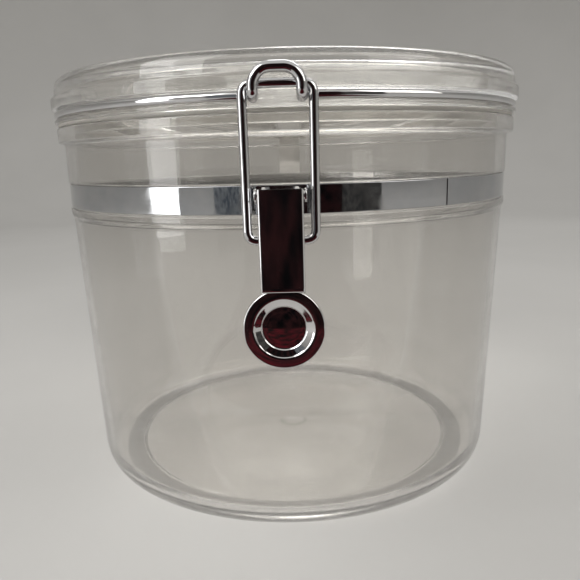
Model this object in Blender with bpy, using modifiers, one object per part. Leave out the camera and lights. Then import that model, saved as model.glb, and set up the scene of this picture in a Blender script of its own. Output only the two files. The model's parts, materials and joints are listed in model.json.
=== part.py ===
"""Clamp-lid food canister: clear jar, hinged clear lid, chromed wire and an over-centre latch.

Metres, +Z up. The origin is the centre of the foot ring on the floor, and the latch faces -Y.
"""

import math

import bmesh
import bpy
from mathutils import Matrix, Vector

# ---- driving dimensions ----
GAP = 0.0003
TURN_STEPS = 64

FOOT_WIDTH = 0.0066
FOOT_HEIGHT = 0.0012
GATE_R = 0.006
GATE_DEPTH = 0.0005
CORNER_R = 0.0092
WALL = 0.0026
FLOOR = 0.0024

BODY_TOP_Z = 0.1065
BODY_TAPER = 0.0044
BODY_STEP = 0.0008
LEDGE_RISE = 0.0008
LEDGE_HEIGHT = 0.0030
NECK_R = 0.0921
NECK_WALL = 0.0039

BAND_SEAT_DEPTH = 0.0012
BAND_THICK = 0.0006
BAND_HEIGHT = 0.0088

NECK_ABOVE_BAND = 0.0156
RIM_PROUD = 0.0024
RIM_HEIGHT = 0.0053

GASKET_THICK = 0.0012
GASKET_INSET = 0.0007
PLUG_CLEARANCE = 0.0008
PLUG_DEPTH = 0.0044
LIP_PROUD = 0.0005
LIP_HEIGHT = 0.0012
FLANGE_PROUD = 0.0008
FLANGE_HEIGHT = 0.0042
CROWN_INSET = 0.0023
CROWN_HEIGHT = 0.0075
CROWN_EDGE_R = 0.0035
PANEL_DROP = 0.0012
PANEL_INSET = 0.0135

WIRE_R = 0.0016
HOOK_SIDE_GAP = 0.00037
HOOK_RISE = 0.0039
HOOK_BEND = 0.0045
SEAT_DROP = 0.0015
HOOK_GAP = 0.0007
SEAT_OVERLAP = 0.00015

LINK_WIRE_R = 0.00145
LINK_HALF = 0.01027
LINK_CORNER = 0.0032
LINK_GAP = 0.0006

SHEET = 0.0010
EAR_HALF = 0.0054
PIN_R = 0.0012
PIN_HEAD_R = 0.0021
PIN_HEAD_THICK = 0.0008
PIN_OUT = 0.0064
PIN_BELOW_BAND_TOP = 0.0027
EAR_TIP_R = 0.0025

LEVER_THICK = 0.0012
LEVER_TOP = 0.0020
FLANGE_TIP_R = 0.0049
BAR_BELOW_PIN = 0.0134
OVER_CENTRE = 0.0016
FLANGE_BACK = 0.0026
FLANGE_FOOT = 0.0175
TAB_BELOW_PIN = 0.0394
TAB_R = 0.0124
DISH_R = 0.0093
DISH_FLOOR_R = 0.0066
DISH_DEPTH = 0.0016

HINGE_SHEET = 0.0013
HINGE_HALF = 0.0060
HINGE_OUT = 0.0045
HINGE_BELOW_RIM = 0.0010
WIRE_END_X = 0.0085
PINTLE_END_X = 0.0012

# ---- radii, levels and places that follow from them ----
BAND_SEAT_R = NECK_R - BAND_SEAT_DEPTH
BODY_TOP_R = NECK_R - BODY_STEP
FOOT_OUTER_R = BODY_TOP_R - BODY_TAPER - CORNER_R
MOUTH_R = NECK_R - NECK_WALL
RIM_R = NECK_R + RIM_PROUD
LIP_R = RIM_R + LIP_PROUD
FLANGE_R = LIP_R + FLANGE_PROUD
CROWN_R = FLANGE_R - CROWN_INSET
PANEL_R = CROWN_R - PANEL_INSET

LEDGE_TOP_Z = BODY_TOP_Z + LEDGE_HEIGHT + LEDGE_RISE
BAND_LOW_Z = LEDGE_TOP_Z + 2 * GAP
BAND_TOP_Z = BAND_LOW_Z + BAND_HEIGHT
BAND_R = BAND_SEAT_R + GAP + BAND_THICK
RIM_LOW_Z = BAND_TOP_Z + NECK_ABOVE_BAND
RIM_TOP_Z = RIM_LOW_Z + RIM_HEIGHT

LID_LOW_Z = RIM_TOP_Z + GASKET_THICK + 2 * GAP
GROOVE_LOW_Z = LID_LOW_Z + LIP_HEIGHT
WIRE_Z = GROOVE_LOW_Z + GAP + WIRE_R
FLANGE_LOW_Z = WIRE_Z + WIRE_R + GAP
FLANGE_TOP_Z = FLANGE_LOW_Z + FLANGE_HEIGHT
LID_TOP_Z = FLANGE_TOP_Z + CROWN_HEIGHT
RING_R = LIP_R - WIRE_R
GROOVE_R = RING_R - WIRE_R - GAP
PLUG_R = MOUTH_R - PLUG_CLEARANCE

HOOK_HALF = LINK_HALF - LINK_WIRE_R - HOOK_SIDE_GAP - WIRE_R
BAR_LIFT = LINK_WIRE_R + WIRE_R - SEAT_OVERLAP
BAR_Y = -(FLANGE_R + LINK_GAP + LINK_WIRE_R)
BAR_Z = WIRE_Z + BAR_LIFT
HOOK_Y = BAR_Y - LINK_WIRE_R - HOOK_GAP - WIRE_R

PIN_Y = -(BAND_R + PIN_OUT)
PIN_Z = BAND_TOP_Z - PIN_BELOW_BAND_TOP
PIN_HOLE_R = PIN_R + GAP
LINK_LOW_Y = PIN_Y + OVER_CENTRE
LINK_LOW_Z = PIN_Z - BAR_BELOW_PIN
LEVER_HALF = EAR_HALF + GAP + SHEET
PLATE_BACK_Y = PIN_Y - EAR_TIP_R - GAP
PLATE_FRONT_Y = PLATE_BACK_Y - LEVER_THICK

HINGE_Y = LIP_R + HINGE_OUT
HINGE_Z = RIM_TOP_Z - HINGE_BELOW_RIM
KNUCKLE_R = WIRE_R + GAP + HINGE_SHEET / 2


# ---- scene helpers ----
def clear_scene():
    for obj in list(bpy.data.objects):
        bpy.data.objects.remove(obj)


def new_collection(name):
    found = bpy.data.collections.new(name)
    bpy.context.scene.collection.children.link(found)
    return found


def new_material(name, colour, metallic, roughness, alpha=1.0):
    mat = bpy.data.materials.new(name)
    mat.use_nodes = True
    shader = mat.node_tree.nodes["Principled BSDF"]
    shader.inputs["Base Color"].default_value = (*colour, 1.0)
    shader.inputs["Metallic"].default_value = metallic
    shader.inputs["Roughness"].default_value = roughness
    shader.inputs["Alpha"].default_value = alpha
    return mat


def place(obj, material, axis=None):
    PARTS.objects.link(obj)
    obj.data.materials.append(material)
    if axis:
        obj.parent = axis
        obj.matrix_parent_inverse = Matrix.Translation(-axis.location)
    if obj.type == "MESH":
        obj.data.shade_smooth()
        obj.data.set_sharp_from_angle(angle=math.radians(35))


def joint_axis(name, location):
    empty = bpy.data.objects.new(name, None)
    empty.location = location
    PARTS.objects.link(empty)
    return empty


# ---- shape helpers ----
def arc(centre, radius, start_deg, end_deg, count):
    """Points on an arc, both ends included, in a plane's two coordinates."""
    turn = [math.radians(start_deg + (end_deg - start_deg) * i / count) for i in range(count + 1)]
    return [(centre[0] + radius * math.cos(a), centre[1] + radius * math.sin(a)) for a in turn]


def outline_mesh(name, points, closed):
    """A mesh of edges along (radius, height) points in the XZ plane."""
    mesh = bpy.data.meshes.new(name)
    edges = [(i, i + 1) for i in range(len(points) - 1)]
    if closed:
        edges.append((len(points) - 1, 0))
    mesh.from_pydata([(r, 0.0, z) for r, z in points], edges, [])
    return mesh


def turned(name, points, closed=False, steps=TURN_STEPS):
    """A profile turned about Z, as a Screw modifier. It runs down its outer side."""
    obj = bpy.data.objects.new(name, outline_mesh(name, points, closed))
    screw = obj.modifiers.new("Turn", "SCREW")
    screw.steps = steps
    screw.render_steps = steps
    screw.use_merge_vertices = True
    screw.merge_threshold = 0.00005
    screw.use_smooth_shade = True
    return obj


def real_mesh(obj):
    """The evaluated object as a plain mesh object, welded, in the same place."""
    bpy.context.scene.collection.objects.link(obj)
    bpy.context.view_layer.update()
    mesh = bpy.data.meshes.new_from_object(obj.evaluated_get(bpy.context.evaluated_depsgraph_get()))
    name = obj.name
    matrix = obj.matrix_world.copy()
    bpy.data.objects.remove(obj)
    weld(mesh)
    made = bpy.data.objects.new(name, mesh)
    made.matrix_world = matrix
    return made


def weld(mesh):
    work = bmesh.new()
    work.from_mesh(mesh)
    bmesh.ops.remove_doubles(work, verts=work.verts, dist=0.00002)
    bmesh.ops.recalc_face_normals(work, faces=work.faces)
    work.to_mesh(mesh)
    work.free()


def flat_piece(name, outline, thickness, matrix):
    """A filled 2D outline, extruded about its own plane, then put in place as a mesh."""
    curve = bpy.data.curves.new(name, "CURVE")
    curve.dimensions = "2D"
    curve.fill_mode = "BOTH"
    curve.extrude = thickness / 2
    spline = curve.splines.new("POLY")
    spline.points.add(len(outline) - 1)
    for point, (u, v) in zip(spline.points, outline):
        point.co = (u, v, 0.0, 1.0)
    spline.use_cyclic_u = True
    obj = bpy.data.objects.new(name, curve)
    obj.matrix_world = matrix
    return real_mesh(obj)


def side_matrix(x):
    """Puts a (y, z) outline in the plane at x."""
    return Matrix(((0, 0, 1, x), (1, 0, 0, 0), (0, 1, 0, 0), (0, 0, 0, 1)))


def front_matrix(y):
    """Puts an (x, z) outline in the plane at y."""
    return Matrix(((1, 0, 0, 0), (0, 0, -1, y), (0, 1, 0, 0), (0, 0, 0, 1)))


def bar_cutter(name, radius, length, y, z, sides=24):
    """A cylinder along X through (y, z), kept with the cutters."""
    bpy.ops.mesh.primitive_cylinder_add(
        vertices=sides, radius=radius, depth=length, location=(0, y, z), rotation=(0, math.pi / 2, 0)
    )
    return keep_cutter(bpy.context.object, name)


def keep_cutter(obj, name):
    obj.name = name
    for owner in list(obj.users_collection):
        owner.objects.unlink(obj)
    CUTTERS.objects.link(obj)
    obj.hide_render = True
    obj.display_type = "WIRE"
    return obj


def combine(obj, other, operation):
    step = obj.modifiers.new(operation.title(), "BOOLEAN")
    step.operation = operation
    step.object = other


def rounded_path(corners):
    """A polyline through (point, bend radius) corners, each bend as a short curve."""
    path = []
    for i, (corner, bend) in enumerate(corners):
        corner = Vector(corner)
        if bend == 0:
            path.append(corner)
            continue
        before = (Vector(corners[i - 1][0]) - corner).normalized()
        after = (Vector(corners[(i + 1) % len(corners)][0]) - corner).normalized()
        start = corner + before * bend
        end = corner + after * bend
        for k in range(5):
            t = k / 4
            path.append(start * (1 - t) ** 2 + corner * 2 * t * (1 - t) + end * t**2)
    return path


def wire(name, path, radius, closed=False):
    curve = bpy.data.curves.new(name, "CURVE")
    curve.dimensions = "3D"
    curve.bevel_depth = radius
    curve.bevel_resolution = 2
    curve.use_fill_caps = True
    spline = curve.splines.new("POLY")
    spline.points.add(len(path) - 1)
    for point, place_ in zip(spline.points, path):
        point.co = (*place_, 1.0)
    spline.use_cyclic_u = closed
    return bpy.data.objects.new(name, curve)


def strip_outline(path, thickness):
    """The closed outline of a sheet of this thickness that follows a (u, v) path."""
    left, right = [], []
    for i, point in enumerate(path):
        a = Vector(path[max(i - 1, 0)])
        b = Vector(path[min(i + 1, len(path) - 1)])
        along = (b - a).normalized()
        across = Vector((-along.y, along.x)) * thickness / 2
        left.append(tuple(Vector(point) + across))
        right.append(tuple(Vector(point) - across))
    return left + right[::-1]


# ---- the jar ----
def jar_body():
    foot_inner_r = FOOT_OUTER_R - FOOT_WIDTH
    inside_corner = CORNER_R - WALL
    floor_z = FOOT_HEIGHT + FLOOR
    inner_top_r = BODY_TOP_R - WALL
    inside = [(0.0, floor_z)]
    inside += arc((FOOT_OUTER_R - 0.0015, floor_z + inside_corner), inside_corner, -90, 0, 4)
    inside += [(inner_top_r, BODY_TOP_Z), (MOUTH_R, LEDGE_TOP_Z), (MOUTH_R, RIM_TOP_Z - 0.0005)]
    rim = [(MOUTH_R + 0.0005, RIM_TOP_Z), (RIM_R - 0.0006, RIM_TOP_Z), (RIM_R, RIM_TOP_Z - 0.0006)]
    rim += [(RIM_R, RIM_LOW_Z + 0.0005), (RIM_R - 0.0005, RIM_LOW_Z), (NECK_R + 0.0004, RIM_LOW_Z - 0.0003)]
    seat_top_z = BAND_TOP_Z + GAP
    neck = [(NECK_R, RIM_LOW_Z - 0.0012), (NECK_R - 0.0001, seat_top_z + 0.0005)]
    neck += [(NECK_R - 0.0005, seat_top_z), (BAND_SEAT_R, seat_top_z), (BAND_SEAT_R, LEDGE_TOP_Z)]
    ledge_r = BODY_TOP_R + LEDGE_RISE
    ledge = [(ledge_r - 0.0003, LEDGE_TOP_Z), (ledge_r, LEDGE_TOP_Z - 0.0003)]
    ledge += [(ledge_r, BODY_TOP_Z + LEDGE_RISE + 0.0006), (BODY_TOP_R, BODY_TOP_Z)]
    outside = arc((FOOT_OUTER_R, CORNER_R), CORNER_R, 0, -90, 6)
    foot = [(foot_inner_r, 0.0), (foot_inner_r - 0.0008, FOOT_HEIGHT)]
    foot += [(GATE_R, FOOT_HEIGHT), (GATE_R - 0.0004, FOOT_HEIGHT - GATE_DEPTH), (0.0, FOOT_HEIGHT - GATE_DEPTH)]
    place(turned("jar_body", inside + rim + neck + ledge + outside + foot), CLEAR)


def neck_band():
    inner = BAND_SEAT_R + GAP
    ring = [(BAND_R, BAND_TOP_Z), (BAND_R, BAND_LOW_Z), (inner, BAND_LOW_Z), (inner, BAND_TOP_Z)]
    place(turned("neck_band", ring, closed=True), STEEL)


def latch_bracket():
    """A stamped U: a base against the band, and two ears that hold the lever's pin."""
    base_back = -(BAND_R + GAP)
    base_front = base_back - SHEET
    top = PIN_Z + 0.0006
    low = BAND_LOW_Z + 0.0010
    base = [(-EAR_HALF, low), (EAR_HALF, low), (EAR_HALF, top), (-EAR_HALF, top)]
    bracket = flat_piece("latch_bracket", base, SHEET, front_matrix((base_back + base_front) / 2))
    tip = arc((PIN_Y, PIN_Z), EAR_TIP_R, 75, 285, 10)
    ear = [(base_back - SHEET / 2, low), (base_back - SHEET / 2, top - 0.0004)] + tip
    for side, x in (("left", -1), ("right", 1)):
        plate = flat_piece("ear_" + side, ear, SHEET, side_matrix(x * (EAR_HALF - SHEET / 2 - 0.00005)))
        combine(bracket, keep_cutter(plate, "ear_" + side), "UNION")
    combine(bracket, bar_cutter("ear_bore", PIN_HOLE_R, 4 * EAR_HALF, PIN_Y, PIN_Z), "DIFFERENCE")
    place(bracket, STEEL)


def lever_pin():
    """A headed pin along X, turned about its own length."""
    head_in = LEVER_HALF + GAP
    head_out = head_in + PIN_HEAD_THICK
    half = [(0.0, head_out), (PIN_HEAD_R - 0.0003, head_out), (PIN_HEAD_R, head_out - 0.0003)]
    half += [(PIN_HEAD_R, head_in), (PIN_R, head_in)]
    pin = turned("lever_pin", half + [(r, -x) for r, x in half[::-1]], steps=20)
    pin.rotation_euler = (0, math.pi / 2, 0)
    pin.location = (0, PIN_Y, PIN_Z)
    place(pin, STEEL)


def hinge_bracket():
    """A strap from the band up to the hinge, rolled into the knuckle at its top."""
    foot_y = BAND_R + GAP + HINGE_SHEET / 2
    rise_y = HINGE_Y - KNUCKLE_R
    path = [(foot_y, BAND_LOW_Z + 0.0005), (foot_y, BAND_TOP_Z - 0.0025)]
    path += [(foot_y + 0.0004, BAND_TOP_Z - 0.0010), (rise_y - 0.0004, BAND_TOP_Z + 0.0055)]
    path += [(rise_y, BAND_TOP_Z + 0.0070), (rise_y, HINGE_Z - 0.0005)]
    path += arc((HINGE_Y, HINGE_Z), KNUCKLE_R, 180, -105, 19)
    outline = strip_outline(path, HINGE_SHEET)
    place(flat_piece("hinge_bracket", outline, 2 * HINGE_HALF, side_matrix(0.0)), STEEL)


# ---- the lid ----
def lid_shell(axis):
    panel_z = LID_TOP_Z - PANEL_DROP
    crown_low_z = LID_TOP_Z - CROWN_EDGE_R
    top = [(0.0, panel_z), (PANEL_R, panel_z), (PANEL_R + 0.002, LID_TOP_Z)]
    top += arc((CROWN_R - CROWN_EDGE_R, crown_low_z), CROWN_EDGE_R, 90, 0, 4)
    side = [(CROWN_R + 0.0007, crown_low_z - 0.0004), (CROWN_R + 0.0012, FLANGE_TOP_Z + 0.0006)]
    side += [(FLANGE_R - 0.0007, FLANGE_TOP_Z), (FLANGE_R, FLANGE_TOP_Z - 0.0007)]
    side += [(FLANGE_R, FLANGE_LOW_Z + 0.0005), (FLANGE_R - 0.0005, FLANGE_LOW_Z)]
    groove = [(GROOVE_R, FLANGE_LOW_Z), (GROOVE_R, GROOVE_LOW_Z), (LIP_R, GROOVE_LOW_Z)]
    groove += [(LIP_R, LID_LOW_Z + 0.0004), (LIP_R - 0.0004, LID_LOW_Z)]
    plug_low_z = LID_LOW_Z - PLUG_DEPTH
    plug = [(PLUG_R, LID_LOW_Z), (PLUG_R, plug_low_z + 0.0005), (PLUG_R - 0.0005, plug_low_z)]
    inner_r = PLUG_R - WALL
    plug += [(inner_r, plug_low_z), (inner_r, panel_z - WALL - 0.003), (inner_r - 0.003, panel_z - WALL)]
    place(turned("lid_shell", top + side + groove + plug + [(0.0, panel_z - WALL)]), CLEAR, axis)


def lid_gasket(axis):
    low = RIM_TOP_Z + GAP
    high = low + GASKET_THICK
    outer = RIM_R - GASKET_INSET
    inner = PLUG_R + GAP
    place(turned("lid_gasket", [(outer, high), (outer, low), (inner, low), (inner, high)], closed=True), SEAL, axis)


def lid_ring(axis):
    """The wire round the lid: a hook at the front, and two pintles in the knuckle at the rear."""
    rear_y = math.sqrt(RING_R**2 - WIRE_END_X**2)
    front_y = math.sqrt(RING_R**2 - HOOK_HALF**2)
    hook_top = BAR_Z + HOOK_RISE
    half = [((PINTLE_END_X, HINGE_Y, HINGE_Z), 0), ((WIRE_END_X, HINGE_Y, HINGE_Z), 0.002)]
    half += [((WIRE_END_X, HINGE_Y, WIRE_Z), 0.0022), ((WIRE_END_X, rear_y, WIRE_Z), 0.002)]
    for k in range(2, TURN_STEPS // 2 - 1):
        turn = 2 * math.pi * k / TURN_STEPS
        half.append(((RING_R * math.sin(turn), RING_R * math.cos(turn), WIRE_Z), 0))
    clear_of_lip = -(LIP_R + WIRE_R - GAP)
    half += [((HOOK_HALF, -front_y, WIRE_Z), 0.0018), ((HOOK_HALF, clear_of_lip, WIRE_Z), 0.0006)]
    half.append(((HOOK_HALF, BAR_Y, WIRE_Z - SEAT_DROP), 0.0016))
    half += [((HOOK_HALF, HOOK_Y, WIRE_Z), 0.0016), ((HOOK_HALF, HOOK_Y, hook_top), HOOK_BEND)]
    other = [((-x, y, z), bend) for (x, y, z), bend in half[::-1]]
    place(wire("lid_wire_ring", rounded_path(half + other), WIRE_R), STEEL, axis)


# ---- the latch ----
def lever_outline():
    """The lever's face: a strap with a round tab, as (x, z)."""
    half = LEVER_HALF - 0.0002
    top = PIN_Z + LEVER_TOP
    tab_z = PIN_Z - TAB_BELOW_PIN
    meet = math.degrees(math.acos(half / TAB_R))
    strap = [(half, top - 0.001), (half - 0.001, top), (-half + 0.001, top), (-half, top - 0.001)]
    return strap + arc((0.0, tab_z), TAB_R, 180 - meet, 360 + meet, 36)


def lever_flange():
    """The lever's side wall as (y, z), round the pin above and tapering below the link's hole."""
    face = PLATE_BACK_Y - LEVER_THICK / 2
    back = LINK_LOW_Y + FLANGE_BACK
    points = [(face, PIN_Z - FLANGE_FOOT - 0.0105), (PLATE_BACK_Y + 0.0012, PIN_Z - FLANGE_FOOT - 0.0105)]
    points += [(back - 0.001, PIN_Z - FLANGE_FOOT), (back, PIN_Z - FLANGE_FOOT + 0.001), (back, PIN_Z)]
    points += arc((PIN_Y, PIN_Z), FLANGE_TIP_R, 30, 120, 6)
    points += [(face, PIN_Z + FLANGE_TIP_R * 0.7)]
    return points


def latch_lever(axis):
    tab_z = PIN_Z - TAB_BELOW_PIN
    lever = flat_piece("latch_lever", lever_outline(), LEVER_THICK, front_matrix(PLATE_BACK_Y - LEVER_THICK / 2))
    for side, x in (("left", -1), ("right", 1)):
        wall = flat_piece("flange_" + side, lever_flange(), SHEET, side_matrix(x * (LEVER_HALF - SHEET / 2)))
        combine(lever, keep_cutter(wall, "flange_" + side), "UNION")
    back = turned("dish_back", dish(DISH_R + 0.0010, DISH_FLOOR_R + 0.0008, LEVER_THICK * 0.6), steps=32)
    front = turned("dish_front", dish(DISH_R, DISH_FLOOR_R, 0.0), steps=32)
    back.location = (0, PLATE_FRONT_Y + LEVER_THICK * 0.6, tab_z)
    front.location = (0, PLATE_FRONT_Y, tab_z)
    for shape, operation in ((back, "UNION"), (front, "DIFFERENCE")):
        name = shape.name
        shape.rotation_euler = (math.pi / 2, 0, 0)
        combine(lever, keep_cutter(real_mesh(shape), name), operation)
    bore = 4 * LEVER_HALF
    combine(lever, bar_cutter("pin_bore", PIN_HOLE_R, bore, PIN_Y, PIN_Z), "DIFFERENCE")
    link_bore = bar_cutter("link_bore", LINK_WIRE_R + GAP, bore, LINK_LOW_Y, LINK_LOW_Z)
    combine(lever, link_bore, "DIFFERENCE")
    place(lever, STEEL, axis)


def dish(rim_r, floor_r, lift):
    """A shallow cone on its side's axis, from just outside the face to the pressed floor."""
    outside = 0.0 if lift else 0.0006
    return [(0.0, outside), (rim_r, outside), (rim_r, -0.0001), (floor_r, -DISH_DEPTH), (0.0, -DISH_DEPTH)]


def latch_link(axis):
    corners = [((LINK_HALF, BAR_Y, BAR_Z), LINK_CORNER), ((-LINK_HALF, BAR_Y, BAR_Z), LINK_CORNER)]
    corners += [((-LINK_HALF, LINK_LOW_Y, LINK_LOW_Z), LINK_CORNER)]
    corners += [((LINK_HALF, LINK_LOW_Y, LINK_LOW_Z), LINK_CORNER)]
    place(wire("latch_link", rounded_path(corners), LINK_WIRE_R, closed=True), STEEL, axis)


clear_scene()
PARTS = new_collection("food_canister")
CUTTERS = new_collection("cutters")
CLEAR = new_material("clear_plastic", (0.86, 0.83, 0.79), 0.0, 0.06, 0.25)
STEEL = new_material("polished_steel", (0.72, 0.71, 0.70), 1.0, 0.12)
SEAL = new_material("clear_silicone", (0.80, 0.79, 0.76), 0.0, 0.45, 0.7)

LID_AXIS = joint_axis("lid_hinge_axis", Vector((0, HINGE_Y, HINGE_Z)))
LEVER_AXIS = joint_axis("lever_axis", Vector((0, PIN_Y, PIN_Z)))
LINK_AXIS = joint_axis("link_axis", Vector((0, LINK_LOW_Y, LINK_LOW_Z)))

jar_body()
neck_band()
latch_bracket()
lever_pin()
hinge_bracket()
lid_shell(LID_AXIS)
lid_gasket(LID_AXIS)
lid_ring(LID_AXIS)
latch_lever(LEVER_AXIS)
latch_link(LINK_AXIS)
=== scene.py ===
"""Looks for the clamp-lid food canister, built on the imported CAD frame.

Metres, +Z up, the latch faces -Y. Every measure below starts from a CAD node's box or a joint's place.
"""

import json
import math

import bmesh
import bpy
from mathutils import Matrix, Vector

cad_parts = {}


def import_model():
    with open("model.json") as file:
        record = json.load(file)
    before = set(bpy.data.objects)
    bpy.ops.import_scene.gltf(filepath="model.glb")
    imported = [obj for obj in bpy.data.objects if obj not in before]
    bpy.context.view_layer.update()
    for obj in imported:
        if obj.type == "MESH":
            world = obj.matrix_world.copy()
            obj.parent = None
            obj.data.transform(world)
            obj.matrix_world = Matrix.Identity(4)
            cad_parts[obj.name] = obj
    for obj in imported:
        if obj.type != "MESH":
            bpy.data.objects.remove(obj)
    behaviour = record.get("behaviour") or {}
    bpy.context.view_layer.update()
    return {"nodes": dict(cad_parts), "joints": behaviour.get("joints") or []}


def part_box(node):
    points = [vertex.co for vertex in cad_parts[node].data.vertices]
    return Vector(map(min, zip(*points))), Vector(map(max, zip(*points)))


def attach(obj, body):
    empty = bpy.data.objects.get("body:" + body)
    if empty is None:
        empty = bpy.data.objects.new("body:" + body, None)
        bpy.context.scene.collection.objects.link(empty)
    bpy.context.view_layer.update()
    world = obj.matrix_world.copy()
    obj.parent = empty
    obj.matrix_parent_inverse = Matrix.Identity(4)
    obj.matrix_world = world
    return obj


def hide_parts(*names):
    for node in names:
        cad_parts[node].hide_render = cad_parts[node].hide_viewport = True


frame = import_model()

# ---- places taken from the CAD frame ----
JOINT_AT = {joint["name"]: Vector(joint["pos_m"]) for joint in frame["joints"]}
JAR_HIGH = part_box("jar_body")[1]
BAND_LOW, BAND_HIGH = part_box("neck_band")
LID_LOW, LID_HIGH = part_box("lid_shell")
SEAL_LOW, SEAL_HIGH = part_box("lid_gasket")
RING_LOW, RING_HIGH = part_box("lid_wire_ring")
LINK_LOW, LINK_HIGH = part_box("latch_link")
PIN_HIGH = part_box("lever_pin")[1]

HINGE = JOINT_AT["lid_hinge"]
PIN = JOINT_AT["lever_pivot"]
LINK_FOOT = JOINT_AT["link_pivot"]

# ---- details the CAD model leaves plain ----
TURN_STEPS = 192
GAP = 0.0003
WALL = 0.0026
FLOOR = 0.0024
FOOT_WIDTH = 0.0066
FOOT_HEIGHT = 0.0012
CORNER_R = 0.0092
GATE_R = 0.0060
GATE_DEPTH = 0.0005

RIM_R = JAR_HIGH.x
RIM_TOP = JAR_HIGH.z
RIM_HEIGHT = 0.0053
NECK_R = RIM_R - 0.0024
MOUTH_R = NECK_R - 0.0039
BODY_TOP_R = NECK_R - 0.0008
BODY_TAPER = 0.0044
BAND_R = BAND_HIGH.x
BAND_SEAT_R = BAND_R - 0.0009
LAP_INSET = 0.0001
LAP_PROUD = 0.00025
LAP_START_DEG = 36
LAP_TURN_DEG = 12
LEDGE_TOP = BAND_LOW.z - 2 * GAP
BODY_TOP = LEDGE_TOP - 0.0038
FOOT_OUTER_R = BODY_TOP_R - BODY_TAPER - CORNER_R

FLANGE_R = LID_HIGH.x
LID_TOP = LID_HIGH.z
LIP_R = FLANGE_R - 0.0008
CROWN_R = FLANGE_R - 0.0023
PANEL_R = CROWN_R - 0.0135
PANEL_DROP = 0.0012
CROWN_EDGE_R = 0.0035
FLANGE_TOP = LID_TOP - 0.0075
FLANGE_LOW = FLANGE_TOP - 0.0042
LIP_LOW = SEAL_HIGH.z + GAP
GROOVE_LOW = LIP_LOW + 0.0012
PLUG_R = MOUTH_R - 0.0008

WIRE_R = 0.0016
WIRE_SIDES = 6
WIRE_Z = (FLANGE_LOW + GROOVE_LOW) / 2
RING_R = RING_HIGH.x - WIRE_R
GROOVE_R = RING_R - WIRE_R - GAP
HOOK_HALF = 0.00685
HOOK_Y = RING_LOW.y + WIRE_R
HOOK_TOP = RING_HIGH.z - WIRE_R
HOOK_SHOULDER_DROP = 0.0033
HOOK_CROWN = 0.6
SEAT_DROP = 0.0015
WIRE_END_X = 0.0085
PINTLE_END_X = 0.0012

LINK_WIRE_R = 0.00145
LINK_HALF = LINK_HIGH.x - LINK_WIRE_R
LINK_CORNER = 0.0032
LINK_TOP_Z = LINK_HIGH.z - LINK_WIRE_R
LINK_TOP_Y = LINK_LOW.y + LINK_WIRE_R

SHEET = 0.0010
PIN_R = 0.0012
PIN_HEAD_THICK = 0.0008
LEVER_THICK = 0.0012
LEVER_HALF = PIN_HIGH.x - PIN_HEAD_THICK - GAP
LEVER_CORNER = 0.0008
PLATE_FRONT = PIN.y - 0.0040
STRAP_TOP = PIN.z + 0.0020
TAB_R = 0.0124
TAB_Z = PIN.z - 0.0394
TAB_BACK_STEP = 0.0002
CREASE_Z = TAB_Z + 0.0109
CREASE_ROLL = 0.0009
CHANNEL_TIP_R = 0.0049
CHANNEL_BEHIND_LINK = 0.0026
CHANNEL_END_DEPTH = 0.0012
TAPER_BELOW_PIN = 0.0175
SOFT_CORNER = 0.0004
PAPER_DARK = (0.44, 0.435, 0.425)
PAPER_LIGHT = (0.46, 0.455, 0.445)


# ---- materials ----
def new_material(name):
    """A Principled material and the node tools that build its detail."""
    mat = bpy.data.materials.new(name)
    mat.use_nodes = True
    return mat, mat.node_tree, mat.node_tree.nodes["Principled BSDF"]


def noise(tree, scale, stretch=(1, 1, 1), detail=4.0, rough=0.55):
    """Noise in the piece's own metres; stretch below 1 draws it out along that axis."""
    where = tree.nodes.new("ShaderNodeTexCoord")
    mapping = tree.nodes.new("ShaderNodeMapping")
    mapping.inputs["Scale"].default_value = stretch
    found = tree.nodes.new("ShaderNodeTexNoise")
    found.inputs["Scale"].default_value = scale
    found.inputs["Detail"].default_value = detail
    found.inputs["Roughness"].default_value = rough
    tree.links.new(where.outputs["Object"], mapping.inputs["Vector"])
    tree.links.new(mapping.outputs["Vector"], found.inputs["Vector"])
    return found.outputs["Fac"]


def spread(tree, value, source_low, source_high, low, high):
    """A value moved from one range to another, and held inside it."""
    step = tree.nodes.new("ShaderNodeMapRange")
    step.inputs["From Min"].default_value = source_low
    step.inputs["From Max"].default_value = source_high
    step.inputs["To Min"].default_value = low
    step.inputs["To Max"].default_value = high
    tree.links.new(value, step.inputs["Value"])
    return step.outputs["Result"]


def added(tree, a, b):
    step = tree.nodes.new("ShaderNodeMath")
    step.operation = "ADD"
    tree.links.new(a, step.inputs[0])
    tree.links.new(b, step.inputs[1])
    return step.outputs[0]


def two_tone(tree, value, dark, light):
    step = tree.nodes.new("ShaderNodeMix")
    step.data_type = "RGBA"
    step.inputs["A"].default_value = (*dark, 1.0)
    step.inputs["B"].default_value = (*light, 1.0)
    tree.links.new(value, step.inputs["Factor"])
    return step.outputs["Result"]


def relief(tree, shader, height, strength, distance):
    bump = tree.nodes.new("ShaderNodeBump")
    bump.inputs["Strength"].default_value = strength
    bump.inputs["Distance"].default_value = distance
    tree.links.new(height, bump.inputs["Height"])
    tree.links.new(bump.outputs["Normal"], shader.inputs["Normal"])


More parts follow.
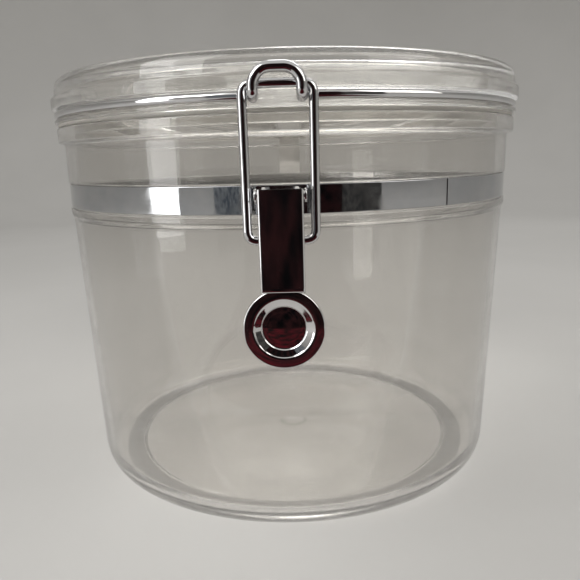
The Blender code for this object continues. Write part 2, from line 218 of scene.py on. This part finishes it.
def clear_plastic(name, dark, light, haze, solid):
    """Moulded clear plastic: a warm tint, wiped smudges and fine hair scratches."""
    mat, tree, shader = new_material(name)
    shader.inputs["Transmission Weight"].default_value = 1.0
    shader.inputs["IOR"].default_value = 1.49
    shader.inputs["Alpha"].default_value = solid
    smudge = noise(tree, 38, (1, 1, 0.45))
    scratch = noise(tree, 900, (1, 1, 0.05), detail=2.0)
    smears = spread(tree, smudge, 0.48, 0.75, 0.0, haze)
    scratches = spread(tree, scratch, 0.62, 0.8, 0.0, haze)
    skin = spread(tree, smudge, 0.3, 0.7, 0.0, 0.02)
    roughness = added(tree, added(tree, smears, scratches), skin)
    tree.links.new(roughness, shader.inputs["Roughness"])
    tree.links.new(two_tone(tree, smudge, dark, light), shader.inputs["Base Color"])
    relief(tree, shader, noise(tree, 40, (1, 1, 0.6), detail=1.0), 0.02, 0.0003)
    return mat


def metal(name, dark, light, gloss, worn, grain, depth):
    """Polished metal: a drawn grain, smudges that dull it, and a faint ripple."""
    mat, tree, shader = new_material(name)
    shader.inputs["Metallic"].default_value = 1.0
    smudge = noise(tree, 120)
    lines = noise(tree, 700, grain, detail=3.0)
    dulled = spread(tree, smudge, 0.4, 0.72, gloss, worn)
    drawn = spread(tree, lines, 0.5, 0.8, 0.0, worn / 2)
    tree.links.new(added(tree, dulled, drawn), shader.inputs["Roughness"])
    tree.links.new(two_tone(tree, smudge, dark, light), shader.inputs["Base Color"])
    relief(tree, shader, added(tree, smudge, spread(tree, lines, 0.3, 0.8, 0.0, 0.15)), depth, 0.0002)
    return mat


def silicone(name):
    """A milky clear seal with a moulded satin skin."""
    mat, tree, shader = new_material(name)
    shader.inputs["Transmission Weight"].default_value = 0.7
    shader.inputs["IOR"].default_value = 1.41
    dust = noise(tree, 260)
    tree.links.new(spread(tree, dust, 0.35, 0.7, 0.3, 0.5), shader.inputs["Roughness"])
    tree.links.new(two_tone(tree, dust, (0.50, 0.48, 0.45), (0.66, 0.64, 0.60)), shader.inputs["Base Color"])
    relief(tree, shader, noise(tree, 2400, detail=2.0), 0.15, 0.0001)
    return mat


def studio_matt(name, dark, light, scale=3.0):
    """Plain paper for the floor and its backdrop."""
    mat, tree, shader = new_material(name)
    shader.inputs["Roughness"].default_value = 0.85
    shader.inputs["Specular IOR Level"].default_value = 0.1
    patches = spread(tree, noise(tree, scale), 0.40, 0.60, 0.0, 1.0)
    tree.links.new(two_tone(tree, patches, dark, light), shader.inputs["Base Color"])
    return mat


# ---- mesh tools ----
def arc(centre, radius, start_deg, end_deg, count):
    turn = [math.radians(start_deg + (end_deg - start_deg) * i / count) for i in range(count + 1)]
    return [(centre[0] + radius * math.cos(a), centre[1] + radius * math.sin(a)) for a in turn]


def eased(corners, closed=False, steps=5):
    """(u, v, bend) corners as a profile, each bend as a short smooth curve."""
    path = []
    last = len(corners) - 1
    for i, (u, v, bend) in enumerate(corners):
        here = Vector((u, v))
        if bend == 0 or (not closed and i in (0, last)):
            path.append((u, v))
            continue
        before = Vector(corners[i - 1][:2]) - here
        after = Vector(corners[(i + 1) % len(corners)][:2]) - here
        start = here + before.normalized() * min(bend, before.length * 0.45)
        end = here + after.normalized() * min(bend, after.length * 0.45)
        for k in range(steps + 1):
            t = k / steps
            path.append(tuple(start * (1 - t) ** 2 + here * 2 * t * (1 - t) + end * t**2))
    return path


def finish_mesh(name, work, sharp_deg=32):
    bmesh.ops.remove_doubles(work, verts=work.verts, dist=0.000004)
    bmesh.ops.recalc_face_normals(work, faces=work.faces)
    mesh = bpy.data.meshes.new(name)
    work.to_mesh(mesh)
    work.free()
    mesh.shade_smooth()
    mesh.set_sharp_from_angle(angle=math.radians(sharp_deg))
    obj = bpy.data.objects.new(name, mesh)
    bpy.context.scene.collection.objects.link(obj)
    return obj


def add_turned(work, profile, matrix=None, closed=False, steps=TURN_STEPS):
    """Turns a (radius, height) profile about Z, then puts it in place by a matrix."""
    matrix = matrix or Matrix.Identity(4)
    rings = []
    for k in range(steps):
        a = 2 * math.pi * k / steps
        ring = [matrix @ Vector((r * math.cos(a), r * math.sin(a), z)) for r, z in profile]
        rings.append([work.verts.new(spot) for spot in ring])
    spans = len(profile) if closed else len(profile) - 1
    for k in range(steps):
        here, there = rings[k], rings[(k + 1) % steps]
        for i in range(spans):
            j = (i + 1) % len(profile)
            work.faces.new((here[i], there[i], there[j], here[j]))


def turned(name, profile, closed=False, steps=TURN_STEPS, matrix=None):
    work = bmesh.new()
    add_turned(work, profile, matrix, closed, steps)
    return finish_mesh(name, work)


def smooth_path(corners):
    """A wire's centre line through (point, bend) corners, each bend as a smooth curve."""
    path = []
    for i, (corner, bend) in enumerate(corners):
        corner = Vector(corner)
        if bend == 0:
            path.append(corner)
            continue
        before = (Vector(corners[i - 1][0]) - corner).normalized()
        after = (Vector(corners[(i + 1) % len(corners)][0]) - corner).normalized()
        start = corner + before * bend
        end = corner + after * bend
        for k in range(13):
            t = k / 12
            path.append(start * (1 - t) ** 2 + corner * 2 * t * (1 - t) + end * t**2)
    return path


def wire(name, path, radius, closed=False):
    curve = bpy.data.curves.new(name, "CURVE")
    curve.dimensions = "3D"
    curve.bevel_depth = radius
    curve.bevel_resolution = WIRE_SIDES
    curve.use_fill_caps = True
    spline = curve.splines.new("POLY")
    spline.points.add(len(path) - 1)
    for point, spot in zip(spline.points, path):
        point.co = (*spot, 1.0)
    spline.use_cyclic_u = closed
    spline.use_smooth = True
    obj = bpy.data.objects.new(name, curve)
    bpy.context.scene.collection.objects.link(obj)
    return obj


def dress(obj, material, body, slot, *nodes):
    """Gives a new piece its material and its body, and hides the CAD nodes it stands for; the slot is not
    used.
    """
    obj.data.materials.clear()
    obj.data.materials.append(material)
    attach(obj, body)
    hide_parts(*nodes)
    return obj


# ---- jar ----
def jar():
    foot_inner = FOOT_OUTER_R - FOOT_WIDTH
    floor_z = FOOT_HEIGHT + FLOOR
    inside = [(0.0, floor_z, 0), (BODY_TOP_R - BODY_TAPER - WALL, floor_z, CORNER_R - 0.001)]
    inside += [(BODY_TOP_R - WALL, BODY_TOP, 0.0008), (MOUTH_R, LEDGE_TOP, 0.0008)]
    inside.append((MOUTH_R, RIM_TOP, 0.0006))
    rim = [(RIM_R, RIM_TOP, 0.0007), (RIM_R, RIM_TOP - RIM_HEIGHT, 0.0006)]
    neck = [(NECK_R, RIM_TOP - RIM_HEIGHT - 0.0006, 0.0010), (NECK_R, BAND_HIGH.z + GAP, 0.0004)]
    neck += [(BAND_SEAT_R, BAND_HIGH.z + GAP, 0.0002), (BAND_SEAT_R, LEDGE_TOP, 0.0002)]
    ledge = [(NECK_R, LEDGE_TOP, 0.0005), (NECK_R, BODY_TOP + 0.0014, 0.0006)]
    ledge.append((BODY_TOP_R, BODY_TOP, 0.001))
    low = [(BODY_TOP_R - BODY_TAPER, 0.0, CORNER_R), (foot_inner, 0.0, 0.0006)]
    low += [(foot_inner - 0.0008, FOOT_HEIGHT, 0.0006), (GATE_R, FOOT_HEIGHT, 0.0003)]
    gate_z = FOOT_HEIGHT - GATE_DEPTH
    gate = [(GATE_R - 0.0004, gate_z, 0.0003), (0.0, gate_z, 0)]
    profile = eased(inside + rim + neck + ledge + low + gate, steps=8)
    shell = dress(turned("jar_shell", profile), JAR_PLASTIC, "jar", "clear_plastic", "jar_body")
    shell.visible_shadow = False


def add_band_lap(work):
    """The band's outer end, lapped over the inner one at the right of the latch."""
    low, high = BAND_LOW.z + LAP_INSET, BAND_HIGH.z - LAP_INSET
    inner, outer = BAND_R - LAP_INSET, BAND_R + LAP_PROUD
    section = [(inner, low), (outer, low), (outer, high), (inner, high)]
    rings = []
    for k in range(9):
        a = math.radians(LAP_START_DEG + LAP_TURN_DEG * k / 8 - 90)
        rings.append([work.verts.new((r * math.cos(a), r * math.sin(a), z)) for r, z in section])
    for here, there in zip(rings, rings[1:]):
        for i in range(4):
            work.faces.new((here[i], there[i], there[(i + 1) % 4], here[(i + 1) % 4]))
    work.faces.new(rings[0])
    work.faces.new(rings[-1][::-1])


def band():
    inner = BAND_SEAT_R + GAP
    edge = 0.00025
    corners = [(BAND_R, BAND_HIGH.z, edge), (BAND_R, BAND_LOW.z, edge), (inner, BAND_LOW.z, edge)]
    corners.append((inner, BAND_HIGH.z, edge))
    work = bmesh.new()
    add_turned(work, eased(corners, closed=True), closed=True)
    add_band_lap(work)
    dress(finish_mesh("band_strip", work), BAND_STEEL, "jar", "polished_steel", "neck_band")


def pin():
    """The rivet through the lever, with a domed head at each end."""
    head_r = PIN_HIGH.y - PIN.y
    head_in = LEVER_HALF + GAP
    half = [(0.0, PIN_HIGH.x, 0), (head_r, PIN_HIGH.x, 0.0006)]
    half += [(head_r, head_in, 0.0001), (PIN_R, head_in, 0)]
    both = half + [(r, -x, bend) for r, x, bend in half[::-1]]
    along_x = Matrix.Translation(PIN) @ Matrix.Rotation(math.pi / 2, 4, "Y")
    rivet = turned("lever_rivet", eased(both), steps=48, matrix=along_x)
    dress(rivet, CHROME, "jar", "polished_steel", "lever_pin")


# ---- lid ----
def lid():
    panel = LID_TOP - PANEL_DROP
    inner = PLUG_R - WALL
    top = [(0.0, panel, 0), (PANEL_R, panel, 0.001), (PANEL_R + 0.002, LID_TOP, 0.001)]
    top.append((CROWN_R, LID_TOP, CROWN_EDGE_R))
    side = [(CROWN_R + 0.0012, FLANGE_TOP, 0.0007), (FLANGE_R, FLANGE_TOP, 0.0007)]
    side += [(FLANGE_R, FLANGE_LOW, 0.0005), (GROOVE_R, FLANGE_LOW, 0.0002)]
    side += [(GROOVE_R, GROOVE_LOW, 0.0002), (LIP_R, GROOVE_LOW, 0.0003), (LIP_R, LIP_LOW, 0.0004)]
    plug = [(PLUG_R, LIP_LOW, 0.0004), (PLUG_R, LID_LOW.z, 0.0006), (inner, LID_LOW.z, 0.0006)]
    plug += [(inner, panel - WALL, 0.004), (0.0, panel - WALL, 0)]
    shell = turned("lid_moulding", eased(top + side + plug, steps=8))
    dress(shell, LID_PLASTIC, "lid", "clear_plastic", "lid_shell")
    shell.visible_shadow = False


def seal():
    inner = PLUG_R + GAP
    corners = [(SEAL_HIGH.x, SEAL_HIGH.z, SOFT_CORNER), (SEAL_HIGH.x, SEAL_LOW.z, SOFT_CORNER)]
    corners += [(inner, SEAL_LOW.z, SOFT_CORNER), (inner, SEAL_HIGH.z, SOFT_CORNER)]
    ring = turned("seal_ring", eased(corners, closed=True), closed=True)
    dress(ring, SILICONE, "lid", "clear_silicone", "lid_gasket")


def ring_wire():
    """The wire round the lid, with its hook at the front and its pintles at the rear."""
    rear = math.sqrt(RING_R**2 - WIRE_END_X**2)
    front = math.sqrt(RING_R**2 - HOOK_HALF**2)
    clear_of_lip = -(LIP_R + WIRE_R - GAP)
    half = [((PINTLE_END_X, HINGE.y, HINGE.z), 0), ((WIRE_END_X, HINGE.y, HINGE.z), 0.002)]
    half += [((WIRE_END_X, HINGE.y, WIRE_Z), 0.0022), ((WIRE_END_X, rear, WIRE_Z), 0.002)]
    first = TURN_STEPS // 32
    for k in range(first, TURN_STEPS // 2 - first + 2):
        turn = 2 * math.pi * k / TURN_STEPS
        half.append(((RING_R * math.sin(turn), RING_R * math.cos(turn), WIRE_Z), 0))
    half += [((HOOK_HALF, -front, WIRE_Z), 0.0018), ((HOOK_HALF, clear_of_lip, WIRE_Z), 0.0006)]
    half.append(((HOOK_HALF, LINK_TOP_Y, WIRE_Z - SEAT_DROP), 0.0016))
    half += [((HOOK_HALF, HOOK_Y, WIRE_Z), 0.0016)]
    half += [((HOOK_HALF, HOOK_Y, HOOK_TOP - HOOK_SHOULDER_DROP), 0.0018)]
    half += [((HOOK_CROWN * HOOK_HALF, HOOK_Y, HOOK_TOP), 0.0024)]
    other = [((-x, y, z), bend) for (x, y, z), bend in half[::-1]]
    made = wire("lid_bail_wire", smooth_path(half + other), WIRE_R)
    dress(made, CHROME, "lid", "chromed_wire", "lid_wire_ring")


# ---- latch ----
def link_wire():
    places = [(LINK_HALF, LINK_TOP_Y, LINK_TOP_Z), (-LINK_HALF, LINK_TOP_Y, LINK_TOP_Z)]
    places += [(-LINK_HALF, LINK_FOOT.y, LINK_FOOT.z), (LINK_HALF, LINK_FOOT.y, LINK_FOOT.z)]
    path = smooth_path([(place, LINK_CORNER) for place in places])
    made = wire("link_bail", path, LINK_WIRE_R, closed=True)
    dress(made, CHROME, "link", "chromed_wire", "latch_link")


def channel_depth(z):
    """How far the strap's side walls run back at a height, round the pin and tapering to the tab."""
    full = LINK_FOOT.y + CHANNEL_BEHIND_LINK
    shallow = PLATE_FRONT + LEVER_THICK + CHANNEL_END_DEPTH
    if z >= PIN.z:
        return PIN.y + CHANNEL_TIP_R * math.cos(math.asin(min((z - PIN.z) / CHANNEL_TIP_R, 1.0)))
    taper_top = PIN.z - TAPER_BELOW_PIN
    share = min(max((taper_top - z) / (taper_top - CREASE_Z), 0.0), 1.0)
    return full + (shallow - full) * share


def channel_section(z):
    """The strap's closed U section at a height, as (x, y), with rolled corners."""
    back = channel_depth(z)
    outer_half = LEVER_HALF
    inner_half = LEVER_HALF - SHEET
    plate_back = PLATE_FRONT + LEVER_THICK
    centre = (outer_half - LEVER_CORNER, PLATE_FRONT + LEVER_CORNER)
    inner_r = 0.0003
    inner_centre = (inner_half - inner_r, plate_back + inner_r)
    right = [(outer_half, back)] + arc(centre, LEVER_CORNER, 0, -90, 8)
    inner_right = arc(inner_centre, inner_r, -90, 0, 4) + [(inner_half, back)]
    outer = right + [(-x, y) for x, y in right[::-1]]
    inner = [(-x, y) for x, y in inner_right[::-1]] + inner_right
    return outer + inner


def lever_strap():
    """The U channel from the pin down to the tab, closed at both ends."""
    count = 40
    levels = [STRAP_TOP + (CREASE_Z + CREASE_ROLL - STRAP_TOP) * k / count for k in range(count)]
    levels += [CREASE_Z + CREASE_ROLL * (1 - k / 6) for k in range(7)]
    work = bmesh.new()
    rings = []
    for z in levels:
        roll = 0.6 * CREASE_ROLL * max(1 - (z - CREASE_Z) / CREASE_ROLL, 0.0) ** 2
        rings.append([work.verts.new((x, y + roll, z)) for x, y in channel_section(z)])
    for here, there in zip(rings, rings[1:]):
        for i in range(len(here)):
            j = (i + 1) % len(here)
            work.faces.new((here[i], here[j], there[j], there[i]))
    work.faces.new(rings[0])
    work.faces.new(rings[-1][::-1])
    return finish_mesh("lever_strap", work, sharp_deg=25)


def lever_tab():
    """The round finger tab: a flat rim, a conical ring pressed in, and a low domed centre."""
    face = PLATE_FRONT + TAB_BACK_STEP
    front = [(0.0, 0.0011, 0), (0.0052, 0.0014, 0.001), (0.0066, 0.00165, 0.0003)]
    front += [(0.0069, 0.0013, 0.0002)]
    front += [(0.0088, 0.0004, 0.0003), (0.0093, 0.0, 0.0004), (TAB_R, 0.0, 0.0006)]
    back = [(TAB_R, LEVER_THICK, 0.0005), (0.0100, LEVER_THICK, 0.0005), (0.0076, 0.0026, 0.0006)]
    back += [(0.0060, 0.0026, 0.0004), (0.0, 0.0022, 0)]
    facing = Matrix.Translation((0, face, TAB_Z)) @ Matrix.Rotation(-math.pi / 2, 4, "X")
    return turned("lever_tab", eased(front + back, steps=4), steps=96, matrix=facing)


def bored(obj, radius, y, z):
    """The object with a round hole along X through (y, z)."""
    bpy.ops.mesh.primitive_cylinder_add(
        vertices=48, radius=radius, depth=4 * LEVER_HALF, location=(0, y, z), rotation=(0, math.pi / 2, 0)
    )
    cutter = bpy.context.object
    step = obj.modifiers.new("Bore", "BOOLEAN")
    step.operation = "DIFFERENCE"
    step.object = cutter
    bpy.context.view_layer.update()
    solid = obj.evaluated_get(bpy.context.evaluated_depsgraph_get())
    obj.data = bpy.data.meshes.new_from_object(solid)
    obj.modifiers.clear()
    bpy.data.objects.remove(cutter)


def lever():
    strap = lever_strap()
    bored(strap, PIN_R + GAP, PIN.y, PIN.z)
    bored(strap, LINK_WIRE_R + GAP, LINK_FOOT.y, LINK_FOOT.z)
    strap.data.shade_smooth()
    strap.data.set_sharp_from_angle(angle=math.radians(25))
    dress(strap, MIRROR, "lever", "polished_steel", "latch_lever")
    dress(lever_tab(), MIRROR, "lever", "polished_steel", "latch_lever")


# ---- studio ----
def sweep():
    """A round pale floor that curves up into a low backdrop on every side."""
    floor_r, bend, wall_top = 1.1, 0.6, 1.1
    curve_up = arc((floor_r, bend), bend, -90, 0, 24)[1:]
    side = [(0.0, 0.0), (floor_r, 0.0)] + curve_up + [(floor_r + bend, wall_top)]
    ground = turned("studio_sweep", side)
    ground.data.materials.append(studio_matt("studio_paper", PAPER_DARK, PAPER_LIGHT))


def flag(name, place, size, look_at, dark, light):
    """A coloured card outside the picture, for the polished steel to reflect."""
    work = bmesh.new()
    bmesh.ops.create_grid(work, x_segments=1, y_segments=1, size=0.5)
    card = finish_mesh(name, work)
    card.scale = (size[0], size[1], 1)
    card.location = place
    card.rotation_euler = (Vector(look_at) - Vector(place)).to_track_quat("Z", "Y").to_euler()
    card.visible_camera = False
    card.visible_shadow = False
    card.visible_diffuse = False
    card.visible_transmission = False
    card.data.materials.append(studio_matt(name + "_paper", dark, light, 9.0))


def soft_box(name, place, size, look_at, watts, colour=(1, 1, 1)):
    data = bpy.data.lights.new(name, "AREA")
    data.shape = "RECTANGLE"
    data.size, data.size_y = size
    data.energy = watts
    data.color = colour
    lamp = bpy.data.objects.new(name, data)
    lamp.location = place
    lamp.visible_camera = False
    lamp.rotation_euler = (Vector(look_at) - Vector(place)).to_track_quat("-Z", "Y").to_euler()
    bpy.context.scene.collection.objects.link(lamp)


def world(colour, strength):
    made = bpy.data.worlds.new("studio_air")
    made.use_nodes = True
    made.node_tree.nodes["Background"].inputs["Color"].default_value = (*colour, 1.0)
    made.node_tree.nodes["Background"].inputs["Strength"].default_value = strength
    bpy.context.scene.world = made


def camera():
    """The photograph's own view: low, close, a little right of the latch, and rolled."""
    azimuth, distance, height = math.radians(1.16), 0.27664, 0.1284
    pitch, roll = math.radians(12.51), math.radians(1.6)
    data = bpy.data.cameras.new("camera")
    data.lens = 37.72
    data.sensor_width = 36.0
    data.clip_start = 0.01
    obj = bpy.data.objects.new("camera", data)
    turn = Matrix.Rotation(azimuth, 4, "Z") @ Matrix.Rotation(math.pi / 2 - pitch, 4, "X")
    place = Vector((distance * math.sin(azimuth), -distance * math.cos(azimuth), height))
    obj.matrix_world = Matrix.Translation(place) @ turn @ Matrix.Rotation(-roll, 4, "Z")
    bpy.context.scene.collection.objects.link(obj)
    bpy.context.scene.camera = obj


camera()
JAR_PLASTIC = clear_plastic("jar_clear", (0.87, 0.855, 0.83), (0.935, 0.92, 0.895), 0.05, 0.86)
LID_PLASTIC = clear_plastic("lid_clear", (0.93, 0.915, 0.88), (0.98, 0.965, 0.93), 0.04, 0.82)
BAND_STEEL = metal(
    "band_polished", (0.38, 0.40, 0.43), (0.56, 0.56, 0.56),
    gloss=0.02, worn=0.16, grain=(0.05, 0.05, 1), depth=0.02,
)
CHROME = metal(
    "wire_chrome", (0.56, 0.56, 0.57), (0.72, 0.72, 0.73),
    gloss=0.03, worn=0.12, grain=(1, 1, 1), depth=0.03,
)
MIRROR = metal(
    "lever_mirror", (0.66, 0.66, 0.67), (0.76, 0.75, 0.75),
    gloss=0.03, worn=0.10, grain=(1, 1, 0.06), depth=0.03,
)
BRACKET_STEEL = metal(
    "bracket_steel", (0.58, 0.58, 0.58), (0.72, 0.71, 0.70),
    gloss=0.32, worn=0.48, grain=(1, 1, 0.1), depth=0.08,
)
SILICONE = silicone("seal_clear")

jar()
band()
pin()
lid()
seal()
ring_wire()
link_wire()
lever()
for node in ("latch_bracket", "hinge_bracket"):
    for place in frame["nodes"][node].material_slots:
        place.material = BRACKET_STEEL

sweep()
flag(
    "dark_card", (0.02, -0.345, 0.17), (0.26, 0.36), (0.02, 0.0, 0.17),
    (0.003, 0.003, 0.004), (0.034, 0.011, 0.012),
)
flag(
    "dark_floor_card", (0.02, -0.25, 0.006), (0.26, 0.20), (0.02, -0.25, 1.0),
    (0.003, 0.002, 0.002), (0.075, 0.004, 0.008),
)
flag(
    "grey_card_right", (0.225, -0.36, 0.15), (0.14, 0.30), (0.0, 0.0, 0.13),
    (0.05, 0.05, 0.05), (0.11, 0.105, 0.10),
)
flag(
    "blue_card_left", (-0.19, -0.42, 0.15), (0.09, 0.34), (0.0, 0.0, 0.13),
    (0.12, 0.14, 0.17), (0.34, 0.36, 0.38),
)
soft_box("key", (-0.9, -0.7, 1.1), (0.8, 0.8), (0, 0, 0.08), 8.5, (1.0, 0.99, 0.97))
soft_box("fill", (1.0, -0.6, 0.8), (0.8, 0.8), (0, 0, 0.08), 4.5, (1.0, 0.96, 0.91))
soft_box("rim", (0.3, 0.8, 1.2), (0.9, 0.5), (0, 0, 0.1), 4)
soft_box("strip_left", (-0.42, -0.30, 0.22), (0.14, 0.50), (0, 0, 0.1), 0.8)
world((0.80, 0.785, 0.755), 0.82)
bpy.context.scene.view_settings.view_transform = "Standard"
